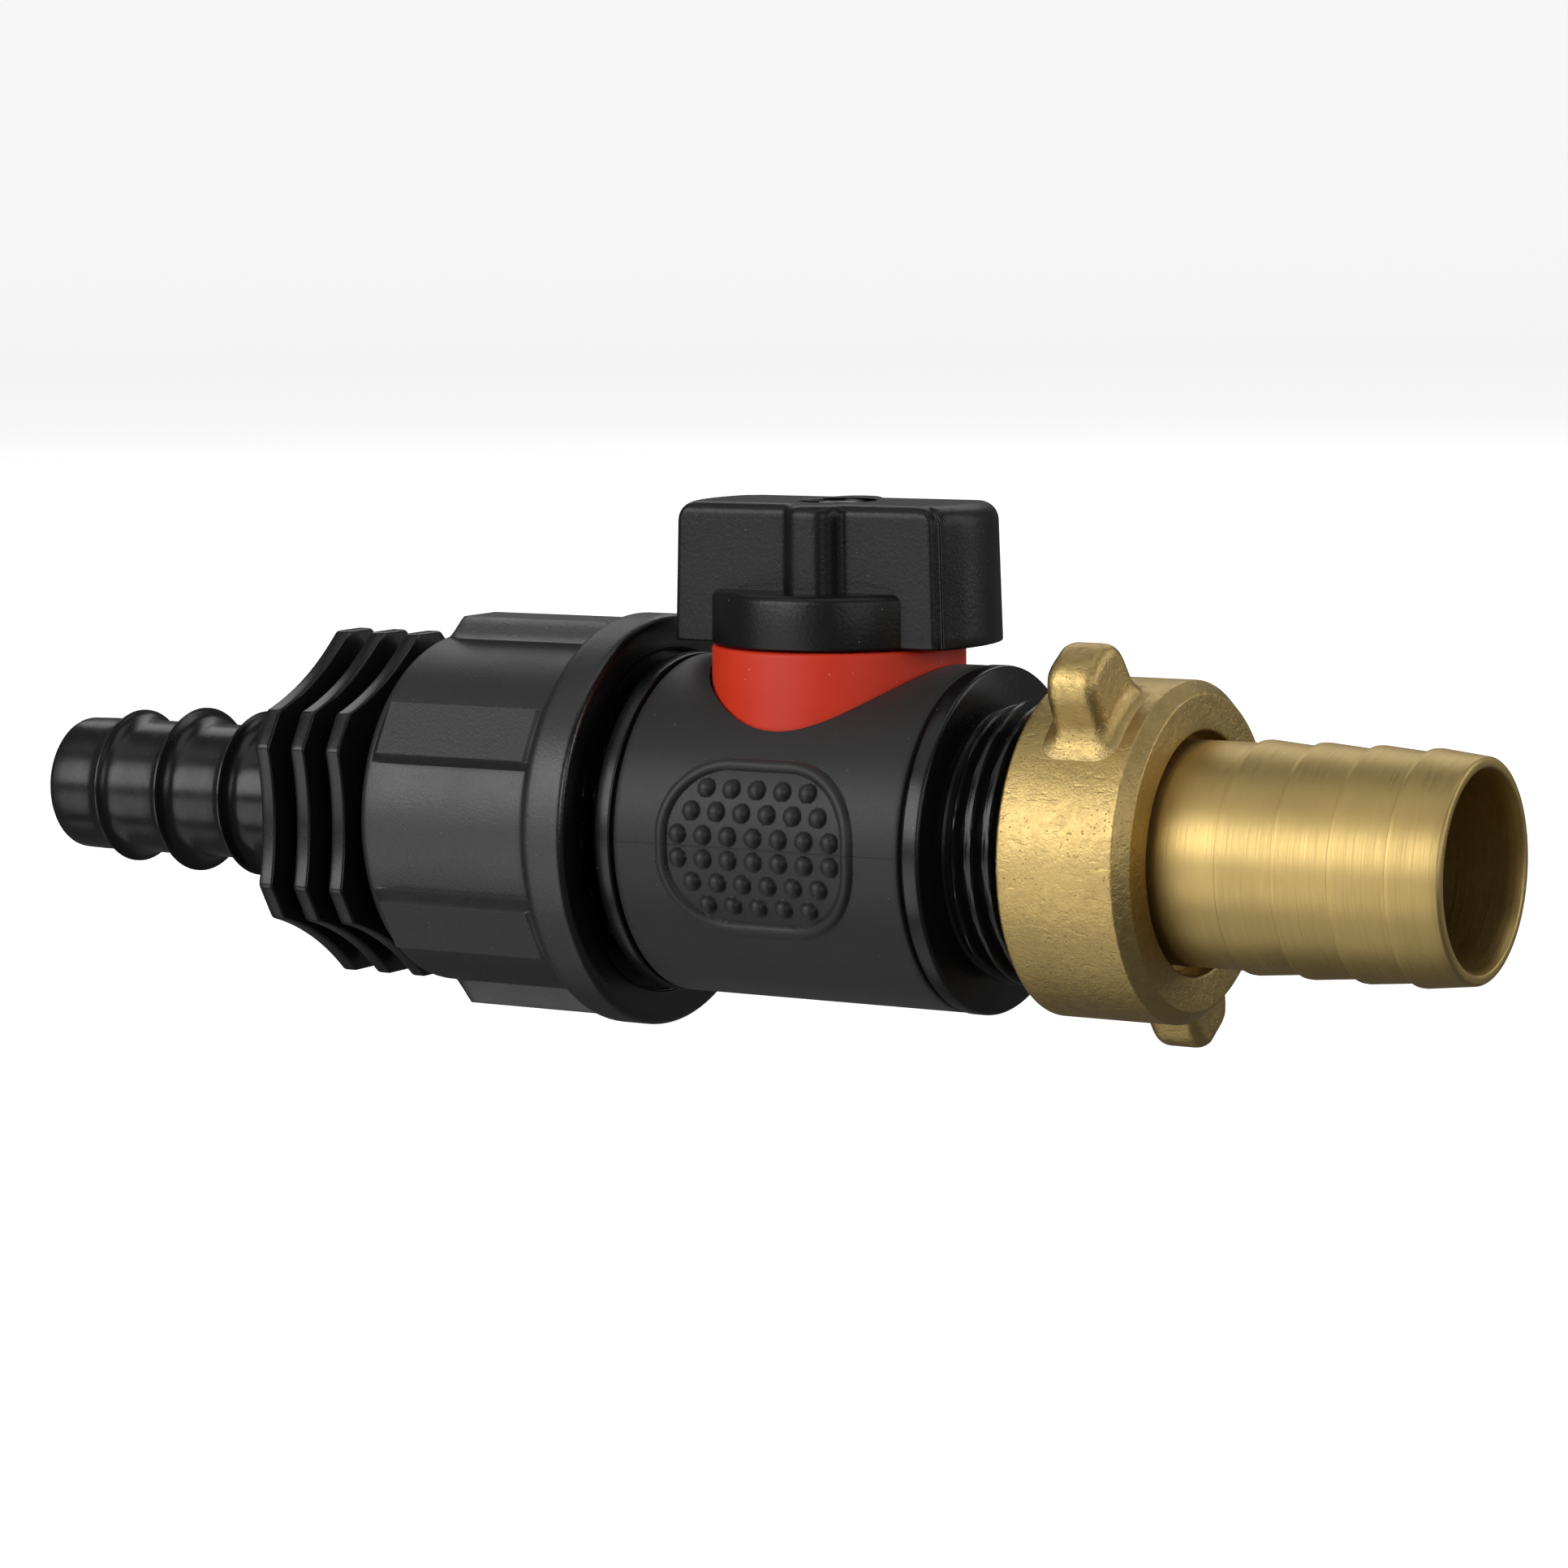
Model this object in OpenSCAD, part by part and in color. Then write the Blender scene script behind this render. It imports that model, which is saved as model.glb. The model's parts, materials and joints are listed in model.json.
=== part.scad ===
// In-line quarter-turn ball valve for a boat's raw-water line.
// A plastic hose tail on a union nut feeds the valve; a brass hose tail on a two-lug nut leaves it.
// +X runs along the flow from the inlet tail to the outlet tail, and +Z runs up the stem.
// The origin is on the flow axis, at the free end of the inlet tail.

/* [Flow line] */
// Distance from the free end of the inlet tail to the stem axis
stem_x = 113.5; // [110:0.5:118]
// Major diameter of the pipe thread on both ends of the valve (1 inch parallel pipe thread)
thread_d = 33.25; // [33.1:0.05:33.4]
// Pitch of the pipe thread, 11 threads to the inch
thread_pitch = 2.309; // [2.3:0.001:2.32]
// Bore through the ball and the two end connectors
port_d = 19; // [17:0.5:19.5]

/* [Inlet hose tail] */
// Outside diameter of the plain tube that the hose is pushed over
inlet_tube_d = 17; // [16.5:0.1:17.4]
// Outside diameter of the first, smaller ring barb
inlet_barb_small_d = 19.6; // [19:0.1:20]
// Outside diameter of the other two ring barbs
inlet_barb_d = 20.9; // [20.4:0.1:21.2]
// Spacing of the ring barbs
inlet_barb_pitch = 10; // [9:0.1:10.5]
// Bore of the inlet tail
inlet_bore_d = 13; // [11:0.5:13.5]
// Distance across the rounded points of the hexagonal grip plates
grip_plate_d = 43; // [40:0.5:44]
// Thickness of one grip plate
grip_plate_t = 2.1; // [1.6:0.1:2.6]
// Spacing of the three grip plates
grip_plate_pitch = 5.25; // [4.6:0.05:5.4]

/* [Union nut] */
// Length of the union nut
union_len = 31.6; // [30:0.1:32]
// Outside diameter of the nut's barrel
union_d = 43; // [42:0.5:44]
// Diameter over two opposite grip pads
union_pad_d = 48; // [46.5:0.5:49]
// Width of one grip pad
union_pad_w = 6.4; // [5:0.1:8]
// Diameter of the flange on the valve side
union_flange_d = 49.8; // [49.2:0.2:51]
// Thickness of the flange
union_flange_t = 5.8; // [4:0.1:7]

/* [Valve body] */
// Length of the soft grip sleeve around the barrel
sleeve_len = 38.2; // [37.8:0.1:38.6]
// Outside diameter of the soft grip sleeve
sleeve_d = 40.8; // [40:0.1:41.2]
// Outside diameter of the rigid barrel under the sleeve
barrel_d = 37; // [36:0.1:37.6]
// Diameter of the ball
ball_d = 28; // [27.4:0.1:28.2]
// Diameter of the collar around the stem
collar_d = 30; // [29:0.1:30.4]

/* [Handle] */
// Diameter of the handle at its lower edge
handle_d = 39; // [37:0.2:41]
// Height of the lower edge of the handle above the flow axis
handle_z = 22.6; // [22.4:0.05:23.2]
// Height of the handle
handle_h = 16.5; // [16:0.1:18.5]
// Thickness of the handle over its two grip faces
handle_t = 15.6; // [13:0.2:18]

/* [Outlet] */
// Outside diameter of the brass nut
wing_nut_d = 39.4; // [38.4:0.2:40]
// Length of the brass nut
wing_nut_len = 16.2; // [15.6:0.1:17]
// Distance over the tips of the two lugs
wing_span = 56; // [50:0.2:58]
// Outside diameter of the barbs on the brass tail
outlet_barb_d = 26.6; // [26.2:0.1:26.8]
// Spacing of the barbs on the brass tail
outlet_barb_pitch = 6.8; // [6:0.1:7]
// Bore of the brass tail
outlet_bore_d = 22.4; // [21:0.1:22.6]

/* [Hidden] */
$fn = 96;

// Clearances: one for parts that turn or slide on each other, one for faces that only meet
run_gap = 0.1;
face_gap = 0.05;
// How far a cutting solid reaches past the faces that it cuts
past = 1;

// Thread sizes
thread_r = thread_d / 2;
thread_depth = 0.6403 * thread_pitch;
thread_root_r = thread_r - thread_depth;
thread_crest_w = 0.35;
// Half the width of a thread ridge at its root, as a share of the pitch
thread_foot = 0.4;
nut_bore_r = thread_r + run_gap;

// Stations along the flow axis, measured from the stem axis on the outlet side
seat_x = 7;
seat_back_x = 12.2;
plug_x = 13.8;
collar_x = 19.6;
neck_x = 21.8;
first_crest_x = 23.9;
nose_x = 39;
washer_t = 2;
washer_inset = 0.4;
tail_flange_t = 3;
tail_face_x = nose_x + washer_t;
tail_back_x = tail_face_x + tail_flange_t;
tail_flange_r = 15.4;
port_r = port_d / 2;

// Ball chamber and stem sizes
ball_r = ball_d / 2;
chamber_r = 15;
plug_r = 16.4;
stem_r = 5;
stem_flange_r = 7.5;
stem_flange_z = 13.4;
stem_flange_t = 1.8;
pocket_z = 16.2;
boss_r = 8.8;
boss_z = handle_z - 0.4;
tang_w = 4;
tang_z = 10.9;
drive_w = 7;
drive_z = handle_z + 10.5;
screw_r = 2;
screw_head_r = 3.7;
screw_seat_z = handle_z + handle_h - 2.5;
screw_tip_z = 24;
stop_key_angle = 14;
stop_key_from = 135;
stop_slack_angle = 1;
stop_in_r = 9.8;
stop_out_r = 12.6;
stop_h = 1.6;

// A solid of revolution about the flow axis, from [radius, station] points
module turned(points) {
    rotate([0, 90, 0]) rotate_extrude() polygon(points);
}

// A flat plate across the flow axis: the outline's x runs along Y and its y along Z
module across(thickness) {
    rotate([90, 0, 90]) linear_extrude(thickness) children();
}

// A ring of rectangular section around the flow axis
module washer(inner_r, outer_r, from_x, to_x) {
    turned([[inner_r, from_x], [outer_r, from_x], [outer_r, to_x], [inner_r, to_x]]);
}

// A ring of round section around the flow axis
module o_ring(mean_r, section_r, at_x) {
    rotate([0, 90, 0]) translate([0, 0, at_x]) rotate_extrude() translate([mean_r, 0])
        circle(section_r, $fn = 32);
}

// Puts a piece that is drawn about the stem axis at its place along the flow
module at_stem() {
    translate([stem_x, 0, 0]) children();
}

// The same for a piece of the outlet side that is repeated on the inlet side
module at_stem_mirrored() {
    at_stem() mirror([1, 0, 0]) children();
}

// ---- Inlet hose tail ----
inlet_tube_r = inlet_tube_d / 2;
inlet_first_barb_x = 9;
inlet_fillet = 2.2;
inlet_crest_w = 0.4;
grip_plate_x = 42.15;
inlet_hub_r = 12.5;
// The bore widens from the tube to the port over this cone
bore_cone_from = 6;
bore_cone_to = 2;
union_x = stem_x - 55;
tail_inlet_back = stem_x - tail_back_x;
tail_inlet_face = stem_x - tail_face_x;

// Profile of one ring barb: two concave flanks that meet at a narrow crest
function barb(crest_x, crest_r) = let (h = crest_r - inlet_tube_r, half = inlet_crest_w / 2)
    concat(
        [for (a = [0:18:90]) [crest_r - h * cos(a), crest_x - half - inlet_fillet * (1 - sin(a))]],
        [for (a = [90:-18:0]) [crest_r - h * cos(a), crest_x + half + inlet_fillet * (1 - sin(a))]]);

// Outline of a grip plate: a hexagon with hollow sides and rounded points
module grip_plate_outline() {
    point_r = grip_plate_d / 2;
    point_cut = 1.1;
    hex_r = point_r + point_cut;
    hollow = 1.4;
    hollow_r = (hex_r * hex_r / 4 + hollow * hollow) / (2 * hollow);
    intersection() {
        circle(point_r);
        difference() {
            rotate(90) circle(hex_r, $fn = 6);
            for (i = [0:5])
                rotate(i * 60) translate([hex_r * cos(30) - hollow + hollow_r, 0])
                    circle(hollow_r);
        }
    }
}

module inlet_hose_tail() {
    color("#1c1c1e") difference() {
        union() {
            turned(concat(
                [[0, 0], [inlet_tube_r, 0]],
                barb(inlet_first_barb_x, inlet_barb_small_d / 2),
                barb(inlet_first_barb_x + inlet_barb_pitch, inlet_barb_d / 2),
                barb(inlet_first_barb_x + 2 * inlet_barb_pitch, inlet_barb_d / 2),
                [[inlet_tube_r, grip_plate_x], [inlet_hub_r, grip_plate_x],
                 [inlet_hub_r, tail_inlet_back], [tail_flange_r, tail_inlet_back],
                 [tail_flange_r, tail_inlet_face], [0, tail_inlet_face]]));
            for (i = [0:2])
                translate([grip_plate_x + i * grip_plate_pitch, 0, 0])
                    across(grip_plate_t) grip_plate_outline();
        }
        turned([[0, -past], [inlet_bore_d / 2, -past], [inlet_bore_d / 2, tail_inlet_back - bore_cone_from],
            [port_r, tail_inlet_back - bore_cone_to], [port_r, tail_inlet_face + past],
            [0, tail_inlet_face + past]]);
    }
}

// ---- Union nut ----
module union_nut() {
    r = union_d / 2;
    flange_r = union_flange_d / 2;
    end_x = union_x + union_len;
    flange_x = end_x - union_flange_t;
    edge = 1.5;
    rim = 2;
    pad_start = 2.7;
    pad_slope = 2.2;
    mouth_r = sleeve_d / 2 + 2 * run_gap;
    mouth_depth = 1.6;
    pad_foot_r = r - 2;
    pad_toe_r = r - 0.2;
    hub_hole_r = inlet_hub_r + 3 * run_gap;
    shoulder_x = tail_inlet_back - face_gap;
    color("#242426") difference() {
        union() {
            turned(concat(
                [[0, union_x]],
                [for (a = [0:22.5:90]) [r - edge * (1 - sin(a)), union_x + edge * (1 - cos(a))]],
                [[r, flange_x]],
                [for (a = [0:22.5:90])
                    [flange_r - rim * (1 - sin(a)), flange_x + rim * (1 - cos(a))]],
                [for (a = [90:-22.5:0]) [flange_r - rim * (1 - sin(a)), end_x - rim * (1 - cos(a))]],
                [[0, end_x]]));
            for (i = [0:5])
                rotate([i * 60, 0, 0]) translate([union_x, union_pad_w / 2, 0]) rotate([90, 0, 0])
                    linear_extrude(union_pad_w)
                        polygon([[pad_start, pad_foot_r], [pad_start, pad_toe_r],
                            [pad_start + pad_slope, union_pad_d / 2],
                            [flange_x - union_x - past, union_pad_d / 2],
                            [flange_x - union_x + past, pad_foot_r]]);
        }
        turned([[0, union_x - past], [hub_hole_r, union_x - past],
            [hub_hole_r, shoulder_x], [nut_bore_r, shoulder_x],
            [nut_bore_r, end_x - mouth_depth - past], [mouth_r - past, end_x - mouth_depth],
            [mouth_r, end_x - mouth_depth], [mouth_r, end_x + past], [0, end_x + past]]);
    }
}

// ---- Valve body ----
stem_bore_r = stem_r + face_gap;

module valve_body() {
    half = sleeve_len / 2;
    color("#19191b") at_stem() difference() {
        union() {
            turned([[0, -half], [barrel_d / 2, -half], [barrel_d / 2, half], [0, half]]);
            cylinder(h = boss_z, r = boss_r);
        }
        washer(0, chamber_r, -half - past, half + past);
        for (side = [-1, 1])
            scale([side, 1, 1]) washer(0, plug_r + face_gap, plug_x - face_gap, half + past);
        cylinder(h = pocket_z, r = stem_flange_r + run_gap);
        cylinder(h = boss_z + past, r = stem_bore_r);
    }
}

// ---- Soft grip sleeve with its oval bump pads ----
pad_w = 26.2;
pad_h = 21;
pad_corner = 9.4;
bead_w = 1.3;
bead_h = 0.5;
bump_d = 2.3;
bump_h = 0.7;
bump_foot = 0.3;
bump_top = 0.5;
bump_pitch = 3.4;
bump_row_pitch = 2.8;
bump_rows = [5, 6, 7, 7, 6, 5];

module rounded_rectangle(w, h, corner) {
    square([w, h - 2 * corner], center = true);
    square([w - 2 * corner, h], center = true);
    for (sx = [-1, 1], sy = [-1, 1])
        translate([sx * (w / 2 - corner), sy * (h / 2 - corner)]) circle(corner);
}

module grip_pad() {
    r = sleeve_d / 2;
    intersection() {
        washer(r - bead_h, r + bead_h, -pad_w, pad_w);
        rotate([90, 0, 0]) linear_extrude(sleeve_d) difference() {
            rounded_rectangle(pad_w, pad_h, pad_corner);
            rounded_rectangle(pad_w - 2 * bead_w, pad_h - 2 * bead_w, pad_corner - bead_w);
        }
    }
    for (row = [0:len(bump_rows) - 1], i = [0:bump_rows[row] - 1]) {
        arc = (row - (len(bump_rows) - 1) / 2) * bump_row_pitch;
        along = (i - (bump_rows[row] - 1) / 2) * bump_pitch;
        rotate([90 - arc / r * 180 / PI, 0, 0]) translate([along, 0, r - bump_h])
            cylinder(h = 2 * bump_h, r1 = bump_d / 2 + bump_foot, r2 = bump_d / 2 - bump_top, $fn = 20);
    }
}

module grip_sleeve() {
    half = sleeve_len / 2;
    collar_gap = 0.35;
    color("#2f2f31") at_stem() {
        difference() {
            washer(barrel_d / 2, sleeve_d / 2, -half, half);
            cylinder(h = sleeve_d, r = collar_d / 2 + collar_gap);
        }
        grip_pad();
        mirror([0, 1, 0]) grip_pad();
    }
}

// ---- Collar around the stem: sits on the barrel and carries the stop key ----
module stem_collar() {
    handle_gap = 0.25;
    top = handle_z - handle_gap;
    color("#dd3a22") at_stem() difference() {
        union() {
            cylinder(h = top, r = collar_d / 2);
            rotate([0, 0, stop_key_from - stop_key_angle / 2]) rotate_extrude(angle = stop_key_angle)
                translate([stop_in_r, top - past]) square([stop_out_r - stop_in_r, stop_h + past]);
        }
        washer(0, barrel_d / 2, -collar_d, collar_d);
        cylinder(h = 2 * top, r = boss_r + face_gap);
    }
}

// ---- End connector: collar, plug into the barrel and threaded nose ----
seal_x = 16.8;
seal_section_r = 0.9;
seal_mean_r = plug_r - seal_section_r;
seat_seal_section_r = 0.75;
seat_seal_x = seat_back_x + seat_seal_section_r;
seat_seal_mean_r = 11.4;
seat_r = 13;
thread_turns = floor((nose_x - first_crest_x) / thread_pitch);

// Profile of one thread ridge around its crest
function ridge(x) = let (foot = thread_foot * thread_pitch, half = thread_crest_w / 2)
    [[thread_root_r, x - foot], [thread_r, x - half], [thread_r, x + half],
     [thread_root_r, x + foot]];

function ridges(n) = [for (i = [0:n - 1]) each ridge(first_crest_x + i * thread_pitch)];

module end_connector() {
    collar_r = sleeve_d / 2;
    groove_r = seal_mean_r - seal_section_r;
    nose_bevel = 0.8;
    collar_back_x = collar_x - 0.5;
    turned(concat(
        [[port_r, plug_x], [plug_r, plug_x], [plug_r, seal_x - seal_section_r],
         [groove_r, seal_x - seal_section_r], [groove_r, seal_x + seal_section_r],
         [plug_r, seal_x + seal_section_r], [plug_r, collar_back_x], [collar_r - past, collar_back_x],
         [collar_r - past, collar_x], [collar_r, collar_x], [collar_r, neck_x],
         [thread_root_r, neck_x]],
        ridges(thread_turns),
        [[thread_root_r, nose_x - nose_bevel], [thread_root_r - nose_bevel, nose_x],
         [port_r, nose_x]]));
    washer(seat_r + face_gap, chamber_r - face_gap, seat_x + past, plug_x);
}

module inlet_end() {
    color("#161618") at_stem_mirrored() end_connector();
}

module outlet_end() {
    color("#161618") at_stem() end_connector();
}

// ---- Seats, seals and washers ----
module seat() {
    difference() {
        washer(port_r, seat_r, seat_x, seat_back_x);
        sphere(ball_r + face_gap);
    }
}

module inlet_seat() {
    color("#efeee8") at_stem_mirrored() seat();
}

module outlet_seat() {
    color("#efeee8") at_stem() seat();
}

module inlet_seat_seal() {
    color("#202020") at_stem_mirrored() o_ring(seat_seal_mean_r, seat_seal_section_r, seat_seal_x);
}

module outlet_seat_seal() {
    color("#202020") at_stem() o_ring(seat_seal_mean_r, seat_seal_section_r, seat_seal_x);
}

module inlet_end_seal() {
    color("#202020") at_stem_mirrored() o_ring(seal_mean_r, seal_section_r, seal_x);
}

module outlet_end_seal() {
    color("#202020") at_stem() o_ring(seal_mean_r, seal_section_r, seal_x);
}

module inlet_washer() {
    color("#202020") at_stem_mirrored()
        washer(port_r + washer_inset, tail_flange_r - washer_inset,
            nose_x + face_gap, tail_face_x - face_gap);
}

module outlet_washer() {
    color("#202020") at_stem()
        washer(outlet_bore_d / 2, tail_flange_r - washer_inset,
            nose_x + face_gap, tail_face_x - face_gap);
}

// ---- Ball and stem ----
module ball() {
    color("#c9ccd0") at_stem() difference() {
        sphere(ball_r);
        washer(0, port_r, -ball_r - past, ball_r + past);
        translate([-ball_r, -tang_w / 2, tang_z]) cube([2 * ball_r, tang_w, ball_r]);
    }
}

stem_seal_r = 0.8;
stem_seal_z = [17.7, 20.3];
stem_neck_z = handle_z - 0.2;

module stem() {
    tang_half = 5.5;
    // the flange stays just above the top of the ball
    ball_clear = 0.65;
    color("#b9bcc0") at_stem() difference() {
        union() {
            translate([-tang_half, -tang_w / 2 + face_gap, tang_z + face_gap])
                cube([2 * tang_half, tang_w - 2 * face_gap, stem_flange_z - tang_z + stem_flange_t / 2]);
            translate([0, 0, stem_flange_z + ball_clear])
                cylinder(h = stem_flange_t - ball_clear, r = stem_flange_r);
            translate([0, 0, stem_flange_z + ball_clear])
                cylinder(h = stem_neck_z - stem_flange_z - ball_clear, r = stem_r);
            translate([-drive_w / 2, -drive_w / 2, stem_neck_z])
                cube([drive_w, drive_w, drive_z - stem_neck_z]);
        }
        for (z = stem_seal_z)
            translate([0, 0, z - stem_seal_r]) difference() {
                cylinder(h = 2 * stem_seal_r, r = stem_r + past);
                cylinder(h = 2 * stem_seal_r, r = stem_r - 2 * stem_seal_r);
            }
        translate([0, 0, screw_tip_z]) cylinder(h = drive_z, r = screw_r);
    }
}

module stem_seals() {
    color("#202020") at_stem() for (z = stem_seal_z)
        translate([0, 0, z]) rotate_extrude() translate([stem_r - stem_seal_r, 0])
            circle(stem_seal_r, $fn = 32);
}

module thrust_washer() {
    z = stem_flange_z + stem_flange_t;
    color("#efeee8") at_stem() difference() {
        translate([0, 0, z]) cylinder(h = pocket_z - face_gap - z, r = stem_flange_r);
        translate([0, 0, z - past]) cylinder(h = pocket_z - z + 2 * past, r = stem_bore_r);
    }
}

// ---- Handle ----
module handle() {
    top_z = handle_z + handle_h;
    end_r = handle_d / 2;
    draft = 0.5;
    panel = 0.8;
    panel_inset = 2.6;
    skirt_h = 6.1;
    rib_r = 3;
    rib_x = 1.6;
    recess_r = 4.4;
    grip_h = handle_h - 0.6;
    screw_hole_r = screw_r + 0.3;
    slot_gap = 0.3;
    slot_h = stop_h + 0.4;
    color("#1d1d1f") at_stem() difference() {
        union() {
            intersection() {
                translate([0, 0, handle_z]) cylinder(h = handle_h, r1 = end_r, r2 = end_r - draft);
                translate([-end_r, panel - handle_t / 2, handle_z])
                    cube([2 * end_r, handle_t - 2 * panel, handle_h]);
            }
            translate([panel_inset - end_r, -handle_t / 2, handle_z])
                cube([2 * (end_r - panel_inset), handle_t, grip_h]);
            for (side = [0, 180])
                rotate([0, 0, side]) translate([rib_x, -handle_t / 2, handle_z])
                    cylinder(h = grip_h, r = rib_r, $fn = 48);
            translate([0, 0, handle_z]) cylinder(h = skirt_h, r = collar_d / 2);
        }
        // recess, hole and seat for the screw
        translate([0, 0, screw_seat_z]) cylinder(h = top_z, r = recess_r);
        translate([0, 0, handle_z]) cylinder(h = handle_h, r = screw_hole_r);
        // socket for the square top of the stem
        translate([-drive_w / 2 - face_gap, -drive_w / 2 - face_gap, handle_z - past])
            cube([drive_w + 2 * face_gap, drive_w + 2 * face_gap, drive_z + past - handle_z]);
        // quarter-turn slot over the stop key
        rotate([0, 0, stop_key_from - 90 - stop_key_angle / 2 - stop_slack_angle])
            rotate_extrude(angle = 90 + stop_key_angle + 2 * stop_slack_angle)
                translate([stop_in_r - slot_gap, handle_z - past])
                    square([stop_out_r - stop_in_r + 2 * slot_gap, slot_h + past]);
    }
}

module handle_screw() {
    head_h = 2.2;
    slot_w = 0.9;
    slot_l = 4.6;
    slot_floor_z = screw_seat_z + 0.8;
    color("#a8abb0") at_stem() difference() {
        union() {
            translate([0, 0, screw_seat_z]) cylinder(h = head_h, r = screw_head_r);
            translate([0, 0, screw_tip_z + past])
                cylinder(h = screw_seat_z - screw_tip_z, r = screw_r - face_gap);
        }
        for (a = [45, 135])
            rotate([0, 0, a]) translate([-slot_l / 2, -slot_w / 2, slot_floor_z])
                cube([slot_l, slot_w, head_h]);
    }
}

// ---- Brass nut with two lugs ----
wing_nut_x = 31.2;
lug_turn = 32;
lug_t = 6.9;

module lug() {
    w = 9.6;
    base_w = 11.8;
    tip_r = wing_span / 2;
    round_r = 3.8;
    nut_r = wing_nut_d / 2;
    root_r = nut_r - 3;
    flare_r = nut_r - 0.5;
    shank_r = nut_r + 1.5;
    across(lug_t) {
        polygon([[-base_w / 2, root_r], [-base_w / 2, flare_r], [-w / 2, shank_r],
            [-w / 2, tip_r - round_r], [w / 2, tip_r - round_r], [w / 2, shank_r],
            [base_w / 2, flare_r], [base_w / 2, root_r]]);
        translate([round_r - w / 2, tip_r - 2 * round_r]) square([w - 2 * round_r, 2 * round_r]);
        for (side = [-1, 1])
            translate([side * (w / 2 - round_r), tip_r - round_r]) circle(round_r);
    }
}

module wing_nut() {
    r = wing_nut_d / 2;
    end_x = wing_nut_x + wing_nut_len;
    bevel_x = 1.5;
    bevel_r = 1.2;
    edge = 0.4;
    lug_x = 4.75;
    hole_r = 14;
    shoulder_x = tail_back_x + face_gap;
    color("#c9a24a") at_stem() difference() {
        union() {
            turned([[0, wing_nut_x], [r - edge, wing_nut_x], [r, wing_nut_x + edge],
                [r, end_x - bevel_x], [r - bevel_r, end_x], [0, end_x]]);
            for (side = [0, 180])
                rotate([lug_turn + side, 0, 0]) translate([wing_nut_x + lug_x, 0, 0]) lug();
        }
        turned([[0, wing_nut_x - past], [nut_bore_r, wing_nut_x - past], [nut_bore_r, shoulder_x],
            [hole_r, shoulder_x], [hole_r, end_x + past], [0, end_x + past]]);
    }
}

// ---- Brass hose tail ----
outlet_barb_x = 55.2;
outlet_end_x = 81.9;
outlet_neck_r = 12.9;
outlet_barbs = 4;
outlet_land_w = 0.6;

module outlet_hose_tail() {
    crest_r = outlet_barb_d / 2;
    step = 0.45;
    low_r = crest_r - step;
    edge = 0.4;
    last = outlet_barbs - 1;
    color("#d2ad58") at_stem() turned(concat(
        [[outlet_bore_d / 2, tail_face_x], [tail_flange_r, tail_face_x],
         [tail_flange_r, tail_back_x], [outlet_neck_r, tail_back_x]],
        [for (i = [0:last]) let (x = outlet_barb_x + i * outlet_barb_pitch)
            each [[i == 0 ? outlet_neck_r : low_r, x], [crest_r, x], [crest_r, x + outlet_land_w]]],
        [[low_r + edge, outlet_end_x - edge], [low_r, outlet_end_x],
         [outlet_bore_d / 2 + edge, outlet_end_x], [outlet_bore_d / 2, outlet_end_x - 2 * edge]]));
}

inlet_hose_tail();
union_nut();
inlet_washer();
inlet_end();
inlet_end_seal();
inlet_seat_seal();
inlet_seat();
valve_body();
grip_sleeve();
stem_collar();
ball();
stem();
stem_seals();
thrust_washer();
handle();
handle_screw();
outlet_seat();
outlet_seat_seal();
outlet_end_seal();
outlet_end();
outlet_washer();
wing_nut();
outlet_hose_tail();
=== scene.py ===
"""Looks for the in-line ball valve: detailed pieces, procedural materials, studio and camera.

Lengths are in millimetres, apart from the studio's, which are in metres.
The flow axis is X. The stem's axis is upright, at x = STEM_X.
"""

import json
import math

import bmesh
import bpy
import numpy as np
from mathutils import Matrix, Vector


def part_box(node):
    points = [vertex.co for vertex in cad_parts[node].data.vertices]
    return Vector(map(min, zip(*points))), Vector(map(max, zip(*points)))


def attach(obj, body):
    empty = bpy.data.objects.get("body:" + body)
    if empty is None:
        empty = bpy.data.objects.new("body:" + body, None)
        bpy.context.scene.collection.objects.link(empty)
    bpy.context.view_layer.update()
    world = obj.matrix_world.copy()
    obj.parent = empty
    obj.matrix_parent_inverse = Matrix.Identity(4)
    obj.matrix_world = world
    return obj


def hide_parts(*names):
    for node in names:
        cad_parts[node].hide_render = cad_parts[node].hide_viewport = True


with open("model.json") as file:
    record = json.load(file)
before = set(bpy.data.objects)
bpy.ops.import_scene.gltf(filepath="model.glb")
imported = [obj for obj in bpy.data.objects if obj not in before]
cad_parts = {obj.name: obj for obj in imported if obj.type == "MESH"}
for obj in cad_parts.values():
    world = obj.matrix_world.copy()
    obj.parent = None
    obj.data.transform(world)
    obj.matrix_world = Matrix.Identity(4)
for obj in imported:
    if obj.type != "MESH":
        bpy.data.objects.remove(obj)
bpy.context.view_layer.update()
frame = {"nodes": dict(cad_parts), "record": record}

MM = 0.001
TAU = 2 * math.pi
QUARTER = math.pi / 2


def extent(node, axis):
    """Where a CAD node starts and ends along "x", "y" or "z", in millimetres."""
    return [round(getattr(corner, axis) / MM, 3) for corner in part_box(node)]


# Stations and radii shared by several pieces, from the frame where a CAD node ends there
COLLAR_START, COLLAR_END = extent("stem_collar", "x")
STEM_X = (COLLAR_START + COLLAR_END) / 2
COLLAR_R = (COLLAR_END - COLLAR_START) / 2
HANDLE_Z, HANDLE_TOP = extent("handle", "z")
UNION_START, UNION_END = extent("union_nut", "x")
SLEEVE_START, SLEEVE_END = extent("grip_sleeve", "x")
SLEEVE_R = 20.3
BARREL_R = -extent("valve_body", "z")[0]
TAIL_FLANGE_R = -extent("outlet_hose_tail", "z")[0]
TUBE_R = 8.5
PORT_R = 9.5

# Pipe thread, 11 to the inch
THREAD_R = 16.625
THREAD_PITCH = 2.309
THREAD_DEPTH = 1.4785
THREAD_ROOT_R = THREAD_R - THREAD_DEPTH
NUT_BORE_R = THREAD_R + 0.1


# ---- Outlines -------------------------------------------------------------------------------


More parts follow.
